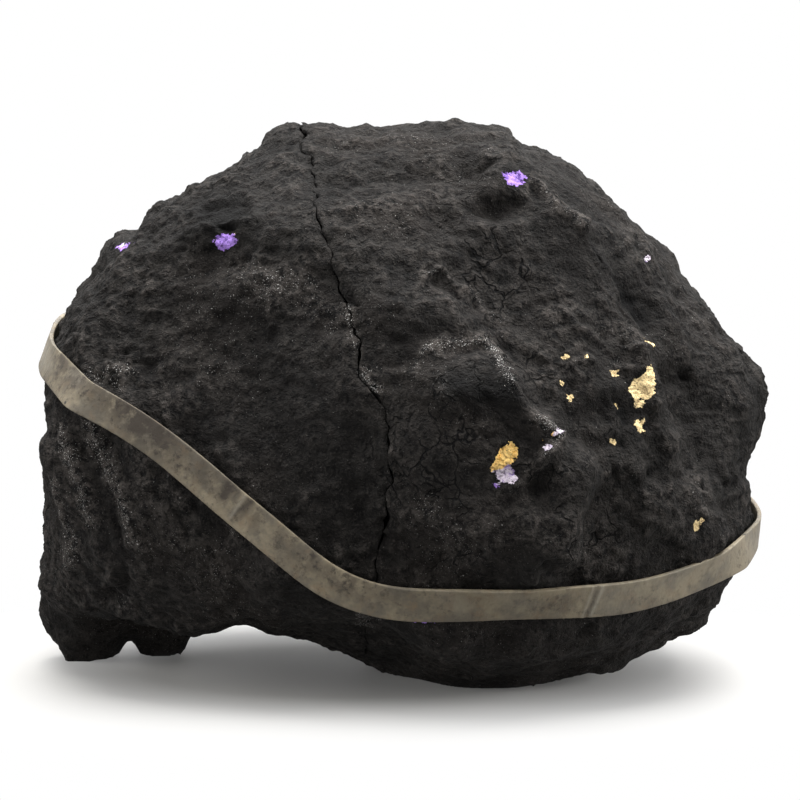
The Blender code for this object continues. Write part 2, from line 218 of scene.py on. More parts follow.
def stoneForm(directions):
    # the plain body, raised or hollowed along its outward lines by each feature, with the underside let down
    body = plainBody(directions)
    outward = body - stoneCentre
    outward /= np.linalg.norm(outward, axis=1)[:, None]
    lift = np.zeros(len(body))
    for start, end, width, height, flatness in features:
        lift += height * np.exp(-(nearLine(body, start, end) / width) ** (2 * flatness))
    for size, height, seed in stone["roughness"]:
        lift += height * smoothNoise(body, size, seed)
    points = body + outward * lift[:, None]
    low = np.clip(1 - points[:, 2] / stone["undersideTop"], 0, 1)
    for x, y, width, drop in stone["underside"]:
        near = np.hypot(body[:, 0] - x, body[:, 1] - y) / width
        points[:, 2] -= drop * np.exp(-near ** 3) * np.sqrt(low)
    points[:, 2] = np.maximum(points[:, 2], 0)
    return points


def formNormals(directions, points):
    # the cross product of two small steps over the form
    pole = np.where(np.abs(directions[:, 2:]) > 0.9, [[1.0, 0.0, 0.0]], [[0.0, 0.0, 1.0]])
    east = np.cross(pole, directions)
    east /= np.linalg.norm(east, axis=1)[:, None]
    north = np.cross(directions, east)
    steps = []
    for tangent in (east, north):
        moved = directions + slopeStep * tangent
        steps.append(stoneForm(moved / np.linalg.norm(moved, axis=1)[:, None]) - points)
    normals = np.cross(steps[0], steps[1])
    return normals / np.maximum(np.linalg.norm(normals, axis=1), 1e-9)[:, None]


def inPicture(points):
    # where the camera sees each point, in the picture's pixels
    tilt = math.radians(picture["elevation"])
    away = points - np.array(picture["aim"])
    depth = picture["distance"] + away[:, 1] * math.cos(tilt) - away[:, 2] * math.sin(tilt)
    up = away[:, 2] * math.cos(tilt) + away[:, 1] * math.sin(tilt)
    scale = picture["distance"] / picture["millimetresPerPixel"] / depth
    middle = picture["side"] / 2
    return np.stack([middle + away[:, 0] * scale, middle - up * scale], axis=1)


# The crack

crack = {
    "front": [
        (8, -5.4), (14, -4.2), (22, -3.3), (28, -2.2), (35, -1.2), (40, -1.7), (46, -2.8),
        (50, -5.5), (55, -5.9), (62, -8), (69, -10.2), (77, -12.8), (84, -15.2),
    ],
    "back": [(5, -9), (20, -12), (40, -9), (60, -12), (84, -15.2)],
    "turnover": 20.0,
    "jags": [(9.0, 0.8, 41), (4.5, 0.35, 47), (2.1, 0.55, 53), (1.1, 0.30, 59)],
    "gap": 0.22,
    # places where the crack opens, as (picture x, picture y, reach, extra gap)
    "openings": [
        (300, 135, 1.4, 0.9), (353, 298, 0.7, 0.9), (389, 440, 1.0, 0.6), (386, 521, 0.8, 0.9),
        (336, 236, 0.6, 0.4), (362, 355, 0.7, 0.2), (372, 385, 0.6, 0.3), (391, 475, 1.0, 0.3),
    ],
    "core": (1.0, 43.0),
}
crackFront = np.array(crack["front"])
crackBack = np.array(crack["back"])


def crackSheet(y, z):
    # the x of the sheet that parts the stone: front and back courses eased together, plus jags
    ahead = np.interp(z, crackFront[:, 0], crackFront[:, 1])
    behind = np.interp(z, crackBack[:, 0], crackBack[:, 1])
    sheet = ahead + (behind - ahead) * eased(-crack["turnover"], crack["turnover"], y)
    places = np.stack([np.zeros_like(y), y, z], axis=1)
    for size, height, seed in crack["jags"]:
        sheet = sheet + height * smoothNoise(places, size, seed)
    return sheet


def crackGap(points):
    # the plain gap, drawn wider near the named openings and by a slow noise
    gap = crack["gap"] * (1.0 + 0.8 * smoothNoise(points, 2.4, 67))
    seen = inPicture(points)
    ahead = eased(8.0, -4.0, points[:, 1])
    for x, y, reach, extra in crack["openings"]:
        away = np.hypot(seen[:, 0] - x, seen[:, 1] - y) * picture["millimetresPerPixel"]
        gap = gap + extra * np.exp(-(away / reach) ** 2) * ahead * (1 + 0.5 * smoothNoise(points, 0.9, 73))
    return gap


# The crust's own relief

relief = {
    # size and height in millimetres
    "lumps": (6.0, 0.55), "folds": (3.2, 0.50), "clods": (2.7, 0.47), "crumbs": (1.3, 0.27),
    # size, depth, and above which of the cells' numbers from -1 to 1 there is a pit
    "pits": (4.2, 0.9, 0.72),
    # reach and depth of the wear along the crack
    "rimWear": (0.9, 0.45),
    # a chip's depth, and how much its facets stand out
    "chipDepth": 0.48, "chipFacets": 0.2,
    # how far in pixels noise pushes the drawn lines, and its size
    "straying": (3.4, 2.6),
}

# Small forms in front: (picture x, y) to (x, y), half width in pixels, height in millimetres
fineFeatures = [
    (412, 370, 426, 352, 6, 0.6), (426, 352, 446, 341, 7, 0.7), (446, 341, 480, 341, 8, 0.8),
    (480, 341, 496, 357, 8, 0.8), (496, 357, 512, 388, 7, 0.9), (438, 370, 444, 395, 4, 0.5),
    (510, 384, 533, 420, 6, 0.9), (533, 420, 556, 436, 7, 1.5), (551, 446, 537, 464, 5, 1.0),
    (537, 464, 508, 486, 5, 0.8), (564, 454, 536, 492, 8, -0.8), (568, 520, 572, 556, 18, 0.8),
    (422, 278, 439, 272, 4, 0.9), (439, 272, 464, 290, 4, 0.8), (430, 288, 450, 292, 6, -0.7),
    (464, 290, 505, 330, 5, 0.4), (475, 306, 477, 307, 4, -0.9), (493, 306, 495, 307, 4, -0.8),
    (342, 213, 382, 204, 5, 0.5), (520, 347, 545, 360, 4, 0.6), (500, 352, 508, 366, 5, -0.6),
    (112, 372, 120, 380, 6, 0.9), (98, 378, 108, 386, 5, -0.9), (140, 364, 150, 372, 9, -0.8),
    (160, 350, 166, 420, 3, 0.4), (118, 300, 108, 372, 4, 0.4), (205, 215, 240, 205, 9, -0.8),
    (222, 224, 228, 227, 7, -1.8), (194, 190, 250, 168, 5, 0.6), (186, 206, 200, 200, 8, -0.7),
    (490, 161, 505, 160, 8, 1.6), (492, 194, 518, 194, 12, 1.2), (590, 240, 652, 322, 11, -1.0),
    (529, 181, 583, 227, 4, 0.9), (583, 227, 600, 260, 4, 0.4), (613, 473, 617, 480, 5, -1.3),
    (682, 373, 684, 376, 5, -1.7), (676, 382, 690, 400, 7, -0.7), (600, 300, 640, 350, 6, 0.6),
    (640, 350, 660, 430, 6, 0.6), (590, 360, 606, 470, 6, 0.5), (625, 400, 630, 520, 6, -0.6),
    (566, 320, 600, 340, 5, 0.6), (668, 440, 672, 520, 5, 0.5), (655, 300, 690, 350, 5, 0.5),
    (300, 640, 360, 660, 8, 0.4), (346, 297, 352, 301, 4, -0.9), (386, 519, 389, 524, 5, -0.8),
    (232, 526, 238, 532, 4, 0.5), (92, 598, 180, 622, 5, 0.8), (180, 622, 236, 620, 5, 0.7),
    (66, 432, 96, 520, 6, 0.7), (92, 424, 140, 540, 6, 0.6), (56, 478, 76, 560, 6, 0.5),
    (128, 432, 186, 548, 6, 0.5), (168, 480, 232, 590, 6, 0.6), (112, 500, 128, 590, 6, -0.5),
    (80, 440, 118, 540, 5, -0.5),
]

# Where the crust is rougher than elsewhere, as (picture x, y) to (x, y), reach in pixels, added share
roughPlaces = [
    (560, 380, 660, 500, 60, 0.8), (420, 500, 560, 560, 40, 0.5), (430, 370, 530, 400, 45, 0.5),
    (440, 290, 560, 330, 40, 0.35), (80, 440, 120, 560, 40, 0.5), (120, 370, 160, 380, 40, 0.5),
    (200, 200, 240, 230, 40, 0.4), (400, 450, 480, 550, 60, 0.2),
]

# Shifts of the whole body where the outline asks for it: (picture x, y, reach x, reach y, right, up)
bodyShifts = [
    (38, 628, 26, 34, -3, 0), (244, 634, 26, 14, 0, 2.2), (302, 642, 34, 14, 0, 1.6),
    (194, 640, 18, 15, -0.8, -1.8), (132, 652, 15, 12, 0, 1.8), (85, 266, 24, 30, 1.3, -1.3),
    (62, 314, 18, 20, 0, -0.8), (140, 222, 18, 16, 0, -0.8), (42, 432, 18, 26, 0.9, 0),
    (42, 510, 18, 24, 0.7, 0), (690, 274, 24, 30, -0.7, -0.7), (764, 366, 18, 16, -1.2, 0),
    (677, 648, 22, 14, 0, 1.5), (230, 168, 60, 26, 0, -0.8), (285, 124, 22, 16, 0, -0.5),
    (460, 116, 60, 22, 0, -0.8), (600, 184, 22, 22, -0.6, -0.4), (756, 465, 34, 50, -0.9, 0),
    (742, 596, 30, 32, -2.7, 0), (622, 670, 26, 14, 0, -1.6), (335, 664, 24, 12, 0, 0.7),
]

# Chips through the crust, as (picture x, y, half width, half height, turn in degrees)
chips = {
    "ochre": [
        (506, 456, 9, 13, 10), (512, 450, 6, 8, 0), (500, 467, 9, 8, 0), (551, 436, 4, 2.5, -40),
        (542, 440, 3, 2, 0),
    ],
    "cream": [
        (641, 388, 11, 12, 0), (645, 377, 4, 8, 0), (639, 402, 4, 7, 0), (641, 426, 5, 7, 0),
        (624, 403, 2.5, 3, 0), (614, 441, 3, 3, 0), (617, 371, 4, 2.5, 0), (643, 347, 2.5, 5, -20),
        (564, 359, 4, 2.5, 0), (561, 385, 3, 4, 0), (569, 398, 2.5, 4, -10), (697, 526, 4, 6, 0),
        (701, 521, 3, 3, 0), (231, 234, 4.5, 3.5, 0), (585, 359, 2.5, 1.5, 0),
    ],
    "violet": [
        (224, 241, 11, 9, 0), (118, 243, 4, 5, 0), (132, 242, 4, 4, 0), (123, 246, 6, 5, 0),
        (514, 178, 11, 8, 0), (496, 483, 5, 4, 0), (427, 620.5, 9, 2, 0), (675, 293, 2, 2, 0),
    ],
    "lilac": [
        (121, 243, 3, 3, 0), (645, 261, 3, 3, 0), (499, 476, 6, 5, 0), (510, 474, 7, 8, 0),
        (505, 479, 9, 5, 0), (555, 435, 3, 4, 0), (547, 448, 3, 3, 0),
    ],
}

# Dust and bright grains gathered on edges, partly painted highlight on lit ridge crests, crack lips and the
# left wall, as (picture x, y) to (x, y), half width in pixels, strength
dustAndHighlightLines = [
    (413, 366, 428, 348, 6, 0.8), (428, 348, 484, 342, 7, 1.0), (484, 342, 511, 386, 7, 1.0),
    (438, 370, 444, 395, 4, 0.5), (533, 420, 557, 436, 8, 1.0), (557, 438, 545, 452, 6, 0.9),
    (537, 464, 508, 486, 5, 0.4), (422, 278, 439, 272, 5, 0.7), (464, 290, 500, 320, 7, 0.4),
    (96, 376, 128, 372, 9, 0.8), (110, 384, 120, 388, 6, 0.9), (486, 155, 504, 152, 6, 0.35),
    (529, 181, 583, 227, 5, 0.5), (346, 308, 357, 345, 7, 1.0), (364, 374, 377, 388, 7, 1.0),
    (250, 270, 300, 284, 16, 0.6), (262, 285, 268, 300, 14, 0.7), (300, 296, 330, 320, 16, 0.5),
    (300, 350, 350, 352, 20, 0.25), (420, 505, 470, 550, 22, 0.55), (360, 616, 380, 618, 7, 0.9),
    (615, 362, 620, 366, 6, 0.7), (600, 330, 640, 340, 8, 0.4), (230, 527, 237, 531, 4, 0.9),
    (120, 598, 128, 602, 5, 0.5), (320, 214, 382, 204, 8, 0.35), (380, 365, 420, 375, 8, 0.4),
    (560, 540, 600, 560, 16, 0.3), (690, 470, 710, 520, 10, 0.3), (160, 350, 168, 420, 5, 0.3),
    (62, 432, 92, 520, 11, 0.9), (90, 424, 138, 540, 10, 0.8), (54, 478, 74, 560, 10, 0.8),
    (126, 432, 184, 548, 8, 0.35), (168, 480, 232, 590, 7, 0.3), (50, 530, 60, 600, 10, 0.35),
    (110, 480, 150, 580, 12, 0.3),
]

# Where shade is painted into the crust as near-black, under the brow, in hollows, over the middle and on the
# right shoulder, as (picture x, y) to (x, y), half width in pixels, strength
paintedShadePlaces = [
    (205, 214, 232, 210, 18, 1.0), (455, 384, 505, 392, 22, 1.0), (235, 320, 245, 400, 50, 0.45),
    (470, 182, 510, 190, 26, 0.35), (400, 320, 400, 350, 35, 0.40), (310, 390, 350, 450, 40, 0.25),
    (185, 460, 200, 500, 28, 0.40), (420, 440, 450, 500, 30, 0.20), (658, 290, 665, 350, 24, 0.35),
    (704, 350, 710, 390, 20, 0.30),
]

# Where the crust has dried into plates, as (picture x, y, reach in pixels, strength)
dryPlaces = [
    (500, 275, 48, 1.0), (435, 460, 62, 1.0), (580, 545, 40, 0.8), (470, 560, 50, 0.5), (455, 395, 40, 0.6),
    (545, 480, 45, 0.7), (260, 520, 50, 0.25), (600, 430, 40, 0.4), (530, 380, 26, 0.9), (470, 200, 50, 0.4),
]


def drawn(seen, line):
    # 1 on a run drawn from (x, y) to (x, y) in the picture, faded by a bell curve of that half width
    x, y, toX, toY, width = line
    away = nearLine(seen, np.array([x, y], float), np.array([toX, toY], float))
    return np.exp(-(away / width) ** 2)


def towards(directions):
    # 1 on the side that the camera sees, eased to nothing behind
    return eased(0.25, -0.10, directions[:, 1])


def reliefHeight(points, seen, ahead):
    # slow lumps, ridged folds, rounded clods and crumbs, and here and there a pit
    rough = 1.0 + strongest(seen, ahead, roughPlaces)
    size, height = relief["lumps"]
    lift = height * rough * fractalNoise(points, size, 61, 3, 0.55)
    size, height = relief["folds"]
    swayed = points * [0.62, 0.62, 1.3] + 0.9 * smoothNoise(points, 8.0, 5)[:, None]
    lift += height * (0.45 - np.abs(fractalNoise(swayed, size, 71, 3, 0.55)))
    calm = rough * (0.6 + 0.4 * eased(-0.35, 0.4, smoothNoise(points, 15.0, 91)))
    size, height = relief["clods"]
    first, _, own = nearestSeed(points + 0.6 * smoothNoise(points, 1.7, 9)[:, None], size, 83)
    lift += height * calm * (0.4 + 0.6 * own) * (1 - np.clip(first / (0.75 * size), 0, 1) ** 2)
    size, height = relief["crumbs"]
    first, _, own = nearestSeed(points + 0.3 * smoothNoise(points, 0.9, 19)[:, None], size, 97)
    lift += height * calm * own * (1 - np.clip(first / (0.7 * size), 0, 1) ** 2)
    size, depth, share = relief["pits"]
    first, _, own = nearestSeed(points, size, 103)
    lift -= depth * (own > share) * np.exp(-(first / (0.35 + 0.9 * np.abs(own - share))) ** 3)
    for *line, height in fineFeatures:
        lift += ahead * height * drawn(seen, line)
    return lift


def strayed(points, seen):
    # places in the picture pushed about by noise, so that no run drawn on them stays straight
    reach, size = relief["straying"]
    pushes = [fractalNoise(points, size, seed, 2, 0.6) for seed in (151, 163)]
    return seen + reach * np.stack(pushes, axis=1)


outsideChips = -4.0


def insideChips(points, seen, ahead, rows):
    # millimetres inside the nearest chip's edge, negative outside; no chip is much longer than it looks
    field = np.full(len(seen), outsideChips)
    hidden = np.where(ahead > 0.5, 0.0, 1000.0)
    for x, y, halfWidth, halfHeight, turn in rows:
        right, down = seen[:, 0] - x, seen[:, 1] - y
        cosine, sine = math.cos(math.radians(turn)), math.sin(math.radians(turn))
        across = (right * cosine + down * sine) / halfWidth
        along = (down * cosine - right * sine) / halfHeight
        inside = (1 - np.hypot(across, along)) * min(halfWidth, halfHeight) * picture["millimetresPerPixel"]
        middle = points[np.argmin(np.hypot(right, down) + hidden)]
        reach = 1.4 * max(halfWidth, halfHeight) * picture["millimetresPerPixel"]
        inside = np.minimum(inside, reach - np.linalg.norm(points - middle, axis=1))
        field = np.maximum(field, inside)
    return np.where(ahead > 0.5, field, outsideChips)


def strongest(seen, ahead, rows):
    # the strongest of several soft-edged runs
    field = np.zeros(len(seen))
    for *line, strength in rows:
        field = np.maximum(field, strength * drawn(seen, line))
    return field * ahead


def crustSurface(directions, side):
    # the form, moved along its normals by the relief, the chips' recesses and the wear along the crack
    points = stoneForm(directions)
    normals = formNormals(directions, points)
    seen = inPicture(points)
    ahead = towards(directions)
    wandering = strayed(points, seen)
    lift = reliefHeight(points, wandering, ahead)
    fields = {kind: insideChips(points, seen, ahead, rows) for kind, rows in chips.items()}
    chipped = np.maximum.reduce(list(fields.values()))
    facet = nearestSeed(points, 1.0, 131)[0]
    lift += eased(-0.2, 0.25, chipped) * (relief["chipFacets"] * facet - relief["chipDepth"])
    fromCrack = np.abs(points[:, 0] - crackSheet(points[:, 1], points[:, 2]))
    reach, depth = relief["rimWear"]
    worn = 0.2 + 1.6 * np.clip(smoothNoise(points + side * 50.0, 1.8, 37), 0, 1)
    lift -= depth * worn * np.exp(-fromCrack / reach)
    moved = points + normals * lift[:, None]
    for x, y, reachX, reachY, right, up in bodyShifts:
        near = np.exp(-((seen[:, 0] - x) / reachX) ** 2 - ((seen[:, 1] - y) / reachY) ** 2)
        moved += near[:, None] * [right, 0.0, up]
    low = eased(0.0, 1.2, points[:, 2])
    moved[:, 2] = np.maximum(moved[:, 2], 0) * low + points[:, 2] * (1 - low)
    fields["standing"] = lift
    fields["dustAndHighlight"] = strongest(wandering, ahead, dustAndHighlightLines)
    # painted shade, as a share from 0 to 1
    fields["paintedShade"] = strongest(wandering, ahead, paintedShadePlaces)
    dry = strongest(seen, ahead, [(x, y, x, y, reach, strength) for x, y, reach, strength in dryPlaces])
    fields["dry"] = np.maximum(dry, 0.7 * eased(0.0, 0.9, smoothNoise(points, 22.0, 307)) * (1 - ahead))
    return moved, fields


# Meshes

def addMesh(name, points, faces, attributes=None, uv=None):
    # millimetres in the model's own place turned to metres in the row's frame, and faces shaded smooth
    data = bpy.data.meshes.new(name)
    data.from_pydata((points + stonePlace) * mm, [], faces)
    for label, values in (attributes or {}).items():
        layer = data.attributes.new(label, "FLOAT", "POINT")
        layer.data.foreach_set("value", values.astype(np.float32))
    if uv is not None:
        corners = np.empty(len(data.loops), np.int32)
        data.loops.foreach_get("vertex_index", corners)
        layer = data.uv_layers.new(name="along")
        layer.data.foreach_set("uv", uv(corners, len(faces)).ravel().astype(np.float32))
    data.shade_smooth()
    obj = bpy.data.objects.new(name, data)
    bpy.context.scene.collection.objects.link(obj)
    return obj


half = {
    "turns": 510, "rows": 172, "faceRows": 12,
    # how much closer the points stand in front and by the rim
    "frontDensity": 0.28, "rimDensity": 0.72,
    # how far from the crack its sheet still pulls the shell, in millimetres
    "rimEase": 2.2,
    # between which angles from the pole the rim is looked for, and how often the span is halved
    "rimSought": (0.2, 2.6), "halvings": 24,
    # how closely the broken face's rings crowd to the rim, and the depth given to its middle
    "faceCrowding": 1.6, "faceDepth": 40.0,
}


def ringFaces(rings, columns, firstRing=0):
    # quads between neighbouring rings of points, closed round the turn
    ring = np.arange(rings - 1)[:, None] * columns + firstRing
    here = np.arange(columns)[None, :]
    onward = (here + 1) % columns
    quads = np.stack([ring + here, ring + onward, ring + columns + onward, ring + columns + here], axis=2)
    return quads.reshape(-1, 4)


def fan(centre, ring, columns, inward):
    # triangles from one point to a ring
    here = ring + np.arange(columns)
    onward = ring + (np.arange(columns) + 1) % columns
    middle = np.full(columns, centre)
    return np.stack([middle, onward, here] if inward else [middle, here, onward], axis=1)


def halfSurface(side):
    # rings of directions from the side's pole to where the form meets the crack, found by halving,
    # then rings down the broken face
    turns = np.linspace(0, 2 * math.pi, half["turns"], endpoint=False)
    turns = turns + half["frontDensity"] * np.sin(turns)
    spokes = np.stack([np.zeros_like(turns), np.cos(turns), np.sin(turns)], axis=1)

    def directionsAt(fromPole, spoke):
        return np.sin(fromPole)[:, None] * spoke + np.cos(fromPole)[:, None] * [side, 0.0, 0.0]

    low, high = (np.full(len(turns), angle) for angle in half["rimSought"])
    for _ in range(half["halvings"]):
        middle = (low + high) / 2
        points = stoneForm(directionsAt(middle, spokes))
        beyond = side * (points[:, 0] - crackSheet(points[:, 1], points[:, 2])) < crackGap(points) / 2
        high = np.where(beyond, middle, high)
        low = np.where(beyond, low, middle)
    rim = (low + high) / 2
    share = np.arange(1, half["rows"] + 1) / half["rows"]
    share = share * (2 - half["rimDensity"]) - (1 - half["rimDensity"]) * share ** 2
    fromPole = np.concatenate([[0.0], (share[:, None] * rim[None, :]).ravel()])
    spoke = np.concatenate([spokes[:1], np.tile(spokes, (half["rows"], 1))])
    points, attributes = crustSurface(directionsAt(fromPole, spoke), side)

    shell = points[1:].reshape(half["rows"], -1, 3)
    last = shell[-1]
    sheet = crackSheet(last[:, 1], last[:, 2]) + side * crackGap(last) / 2
    fromRim = np.linalg.norm(shell - last[None], axis=2)
    shell[:, :, 0] += (sheet - last[:, 0])[None, :] * np.exp(-(fromRim / half["rimEase"]) ** 2)

    inner = (np.arange(1, half["faceRows"] + 1) / half["faceRows"]) ** half["faceCrowding"]
    core = np.array([crack["core"]])
    flat = shell[-1][None, :, 1:] * (1 - inner[:, None, None]) + core[None] * inner[:, None, None]
    flat = flat[:-1].reshape(-1, 2)
    flat = np.concatenate([flat, core])
    face = np.column_stack([np.zeros(len(flat)), flat])
    face[:, 0] = crackSheet(flat[:, 0], flat[:, 1])
    face[:, 0] += side * crackGap(face) / 2
    everything = np.concatenate([points[:1], shell.reshape(-1, 3), face])

    columns = half["turns"]
    rings = half["rows"] + half["faceRows"] - 1
    quads = ringFaces(rings, columns, 1)
    caps = [fan(0, 1, columns, True), fan(len(everything) - 1, 1 + (rings - 1) * columns, columns, False)]
    # the right half's rings run the other way round, and every face looks outwards
    if side > 0:
        quads = quads[:, ::-1]
        caps = [cap[:, ::-1] for cap in caps]
    faces = caps[0].tolist() + caps[1].tolist() + quads.tolist()

    # the broken face has no chips, dust, painted highlight or painted shade, and knows how far inside the
    # rim each point is
    for label in attributes:
        plain = outsideChips if label in chips else 0.0
        attributes[label] = np.concatenate([attributes[label], np.full(len(face), plain)])
    rims = np.tile(shell[-1][:, 1:], (half["faceRows"] - 1, 1))
    fromRim = np.linalg.norm(face[:-1, 1:] - rims, axis=1)
    attributes["broken"] = np.concatenate([np.zeros(len(points)), fromRim, [half["faceDepth"]]])
    return everything, faces, attributes


# The band

band = {
    "width": 5.0, "thickness": 0.65, "clearance": 0.4, "rows": 5, "stations": 1400,
    "softening": math.radians(3.0),
    # the middle's height at azimuths from +X towards +Y
    "path": [
        (-180, 50.8), (-168, 50), (-156.5, 49), (-147, 46), (-138, 41.6), (-133, 38.6),
        (-127.5, 34.9), (-121.5, 30.8), (-116, 27.6), (-111, 24.5), (-106, 21.4), (-99.5, 19.1),
        (-92, 17.8), (-85, 17.6), (-73, 17.8), (-62, 17.9), (-50, 17.7), (-44, 18.1),
        (-38, 19.2), (-34, 20), (-30, 20.8), (-27, 21.5), (-24, 22.1), (-18.5, 22.6),
        (-12, 22.6), (0, 22.4), (20, 25), (45, 32.5), (70, 42), (90, 48.5),
        (110, 52.5), (135, 53.5), (160, 51.8),
    ],
    # the section's corners as (share across, share of the thickness):
    # inner face, upper edge, outer face, lower edge
    "section": [
        (-0.5, 0.25), (-0.49, 0.08), (-0.47, 0.0), (-0.25, 0.0), (0.0, 0.0), (0.25, 0.0), (0.47, 0.0),
        (0.49, 0.08), (0.5, 0.25), (0.5, 0.6), (0.5, 0.85), (0.493, 0.96), (0.475, 1.0), (0.42, 0.99),
        (0.3, 0.97), (0.15, 0.96), (0.0, 0.96), (-0.15, 0.96), (-0.3, 0.97), (-0.42, 0.99), (-0.475, 1.0),
        (-0.493, 0.96), (-0.5, 0.85), (-0.5, 0.6),
    ],
}
bandPath = np.array(band["path"])

# Marks on the band's outer face: smudges with painted shade on the band's left, pale scratches with painted
# highlight in the middle and on the right, and heights; (picture x, y) to (x, y), half width in pixels,
# strength or height
bandMarks = {
    "smudgeAndShade": [
        (290, 552, 350, 585, 13, 0.62), (378, 590, 392, 596, 12, 0.25), (545, 606, 640, 594, 12, 0.20),
        (229, 486, 223, 496, 6, 1.0), (252, 502, 232, 514, 4, 0.9), (259, 512, 255, 524, 7, 0.6),
        (280, 532, 276, 542, 6, 0.45), (136, 416, 131, 426, 4, 0.5), (152, 422, 156, 432, 7, 0.25),
        (313, 556, 314, 557, 2.2, 1.6), (445, 599, 446, 599, 2.2, 0.8), (597, 592, 588, 614, 4, 0.5),
        (655, 590, 650, 600, 8, 0.35), (205, 470, 200, 478, 8, 0.3), (350, 588, 400, 596, 10, 0.25),
        (340, 567, 371, 580, 1.5, 0.8), (371, 580, 411, 586, 1.5, 0.8), (411, 586, 452, 588, 1.5, 0.8),
        # the first two runs here are broad painted shade over the band's left
        (60, 365, 150, 425, 26, 0.75), (150, 425, 230, 490, 26, 0.40), (520, 602, 580, 604, 12, 0.2),
        (238, 520, 246, 512, 3, 0.5),
    ],
    "pale": [
        (245, 497, 229, 519, 1.6, 0.7), (603, 587, 590, 615, 1.6, 1.0), (593, 588, 582, 617, 1.3, 0.7),
        # the broad pale runs here and below are painted highlight over the band's middle and right
        (440, 590, 460, 606, 9, 0.35), (500, 590, 520, 604, 10, 0.25),
        (610, 600, 750, 545, 22, 0.3), (44, 345, 46, 365, 8, 0.5),
    ],
    "height": [
        (245, 497, 229, 519, 2.2, 0.10), (603, 587, 590, 615, 2.2, 0.13), (593, 588, 582, 617, 2.0, 0.10),
        (598, 588, 586, 616, 2.2, -0.10), (252, 502, 232, 514, 2.2, -0.08), (229, 486, 223, 496, 3.0, -0.05),
    ],
}


def azimuthOf(points):
    # the angle in plan from +X towards +Y
    return np.arctan2(points[:, 1], points[:, 0])


def softened(values, spread):
    # a loop of values blurred by a bell curve of that spread
    waves = np.fft.rfft(values)
    return np.fft.irfft(waves * np.exp(-0.5 * (spread * np.arange(len(waves))) ** 2), len(values))


def formAt(azimuth, height):
    # the form's points at these azimuths and heights: directions corrected until they meet them
    turn = azimuth.copy()
    rise = np.arctan2(height - stoneCentre[2], stone["frontDepth"])
    for _ in range(40):
        level = np.cos(rise)
        points = stoneForm(np.stack([level * np.cos(turn), level * np.sin(turn), np.sin(rise)], axis=1))
        missed = azimuth - azimuthOf(points)
        turn += 0.5 * (missed - 2 * math.pi * np.round(missed / (2 * math.pi)))
        rise += 0.5 * (height - points[:, 2]) / np.hypot(points[:, 0], points[:, 1])
    return points


def pathHeight(azimuth):
    # the path's heights joined up round the turn and blurred
    heights = around(fullTurn, np.radians(bandPath[:, 0]), bandPath[:, 1])
    return around(azimuth, fullTurn, softened(heights, band["softening"]))


def bandRows():
    # loops on the form from the band's lower edge to its upper edge
    azimuth = np.linspace(-math.pi, math.pi, 360, endpoint=False)
    middle = formAt(azimuth, pathHeight(azimuth))
    along = np.roll(middle, -3, axis=0) - np.roll(middle, 3, axis=0)
    outward = np.stack([np.cos(azimuth), np.sin(azimuth), np.zeros_like(azimuth)], axis=1)
    facingOut = np.cross(along, formAt(azimuth, middle[:, 2] + 2) - formAt(azimuth, middle[:, 2] - 2))
    facingOut *= np.sign(np.sum(facingOut * outward, axis=1))[:, None]
    across = np.cross(facingOut, along)
    across /= np.linalg.norm(across, axis=1)[:, None]
    across = np.stack([softened(across[:, axis], 0.12) for axis in range(3)], axis=1)
    across /= np.linalg.norm(across, axis=1)[:, None]
    across *= np.sign(across[:, 2:])
    rows = []
    for offset in np.linspace(-0.5, 0.5, band["rows"]):
        wanted = middle + across * offset * band["width"]
        rows.append(formAt(azimuthOf(wanted), wanted[:, 2]))
    return rows


def taut(loop, turn):
    # how far out a cord pulled tight round the loop stands, in plan, for each way that it faces
    return (np.stack([np.cos(turn), np.sin(turn)], axis=1) @ loop[:, :2].T).max(axis=1)


def tangentPoints(distance, turn):
    # where that cord faces each way: out by the distance, and aside by the distance's slope
    slope = (np.roll(distance, -1) - np.roll(distance, 1)) / (2 * (turn[1] - turn[0]))
    x = distance * np.cos(turn) - slope * np.sin(turn)
    y = distance * np.sin(turn) + slope * np.cos(turn)
    return np.stack([x, y], axis=1)


def bandEdges():
    # both edges pulled tight round the stone's rows, raised evenly to clear the rows between them
    rows = bandRows()
    reach = np.array([taut(row, fullTurn) for row in rows])
    share = np.linspace(0, 1, band["rows"])[:, None]
    ruled = reach[0] * (1 - share) + reach[-1] * share
    spare = softened(np.max(reach - ruled, axis=0), band["softening"]) + band["clearance"]
    edges = []
    for row, distance in ((rows[0], reach[0]), (rows[-1], reach[-1])):
        raised = tangentPoints(softened(distance + spare, band["softening"]), fullTurn)
        plan = tangentPoints(softened(taut(raised, fullTurn), band["softening"]), fullTurn)
        edges.append(np.column_stack([plan, around(azimuthOf(plan), azimuthOf(row), row[:, 2])]))
    return edges


def byLength(loop, count):
    # points at even distances along a closed loop, and the loop's length
    closed = np.concatenate([loop, loop[:1]])
    run = np.concatenate([[0], np.cumsum(np.linalg.norm(np.diff(closed, axis=0), axis=1))])
    wanted = np.linspace(0, run[-1], count, endpoint=False)
    return np.stack([np.interp(wanted, run, closed[:, axis]) for axis in range(3)], axis=1), run[-1]


def bandStations():
    # pairs of points on the two edges, square across the band, at even distances along it
    fine = [byLength(edge, 2400)[0] for edge in bandEdges()]
    middle, length = byLength(fine[0] / 2 + fine[1] / 2, band["stations"])
    along = np.roll(middle, -1, axis=0) - np.roll(middle, 1, axis=0)
    along /= np.linalg.norm(along, axis=1)[:, None]
    pairs = []
    for edge in fine:
        away = edge[None] - middle[:, None]
        ahead = np.abs(np.sum(away * along[:, None], axis=2))
        ahead[np.linalg.norm(away, axis=2) > 2 * band["width"]] = np.inf
        picked = edge[np.argmin(ahead, axis=1)]
        pairs.append(np.stack([softened(picked[:, axis], 0.012) for axis in range(3)], axis=1))
    return pairs[0], pairs[1], along, length


